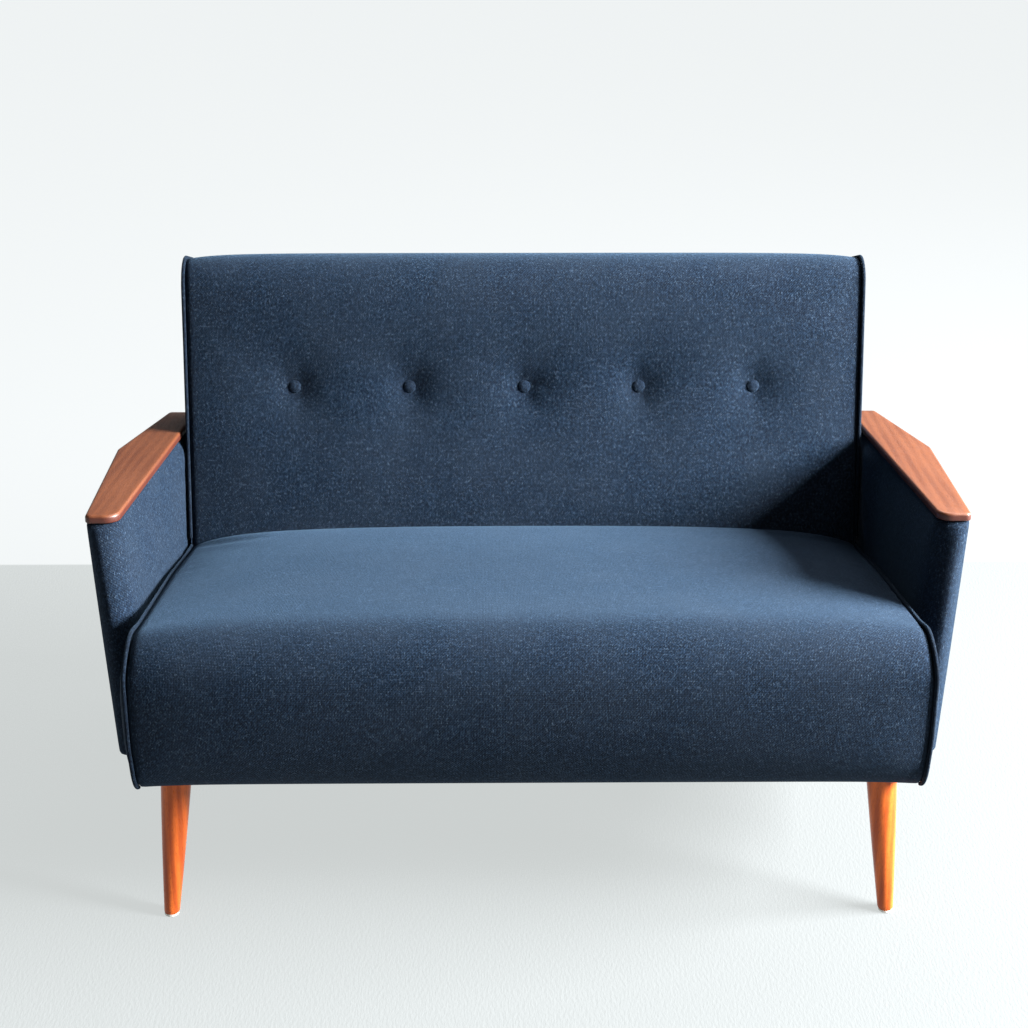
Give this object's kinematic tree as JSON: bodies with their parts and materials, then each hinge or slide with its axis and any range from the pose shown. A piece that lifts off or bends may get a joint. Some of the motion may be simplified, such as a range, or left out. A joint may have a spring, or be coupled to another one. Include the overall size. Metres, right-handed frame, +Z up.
{
  "type": "two-seat sofa",
  "caption": "Compact two-seat sofa with a reclined buttoned back, fixed padded seat, slim side arms with wooden caps and splayed tapered wooden legs.",
  "frame": {"origin": "on the floor, at the middle of the sofa's plan box", "axes": "+Z up, +X to the right as seen from in front, the front of the sofa faces -Y"},
  "size_m": [1.298, 0.822, 0.783],
  "materials": {
    "timber": "matte",
    "oiled_wood": "satin",
    "leg_wood": "gloss",
    "navy_cloth": "matte",
    "foam": "matte",
    "hessian": "matte",
    "webbing": "matte",
    "spring_steel": "satin",
    "zinc_steel": "satin",
    "brass_screw": "satin",
    "twine": "matte",
    "nylon": "matte",
    "cambric": "matte"
  },
  "bodies": {
    "root": {"front_rail": "timber", "rear_rail": "timber", "left_side_rail": "timber", "right_side_rail": "timber", "centre_rail": "timber", "spring_rail": "timber", "corner_blocks": "timber", "seat_springs": "spring_steel", "spring_clips": "zinc_steel", "seat_hessian": "hessian", "seat_foam": "foam", "front_edge_roll": "foam", "seat_cover": "navy_cloth", "left_seat_panel": "navy_cloth", "right_seat_panel": "navy_cloth", "left_seat_piping": "navy_cloth", "right_seat_piping": "navy_cloth", "left_back_post": "timber", "right_back_post": "timber", "back_top_rail": "timber", "back_lower_rail": "timber", "back_webbing": "webbing", "back_hessian": "hessian", "back_foam": "foam", "back_top_pad": "foam", "back_cover": "navy_cloth", "left_back_panel": "navy_cloth", "right_back_panel": "navy_cloth", "left_back_piping": "navy_cloth", "right_back_piping": "navy_cloth", "outside_back": "navy_cloth", "back_buttons": "navy_cloth", "button_twines": "twine", "button_toggles": "timber", "left_arm_frame": "timber", "right_arm_frame": "timber", "left_arm_top_rail": "timber", "right_arm_top_rail": "timber", "left_arm_foam": "foam", "right_arm_foam": "foam", "left_arm_cover": "navy_cloth", "right_arm_cover": "navy_cloth", "left_arm_cap": "oiled_wood", "right_arm_cap": "oiled_wood", "cap_screws": "brass_screw", "arm_bolts": "zinc_steel", "arm_bolt_washers": "zinc_steel", "arm_tee_nuts": "zinc_steel", "front_left_leg": "leg_wood", "front_right_leg": "leg_wood", "rear_left_leg": "leg_wood", "rear_right_leg": "leg_wood", "leg_plates": "zinc_steel", "hanger_bolts": "zinc_steel", "plate_screws": "zinc_steel", "leg_glides": "nylon", "dust_cover": "cambric"}
  },
  "joints": []
}
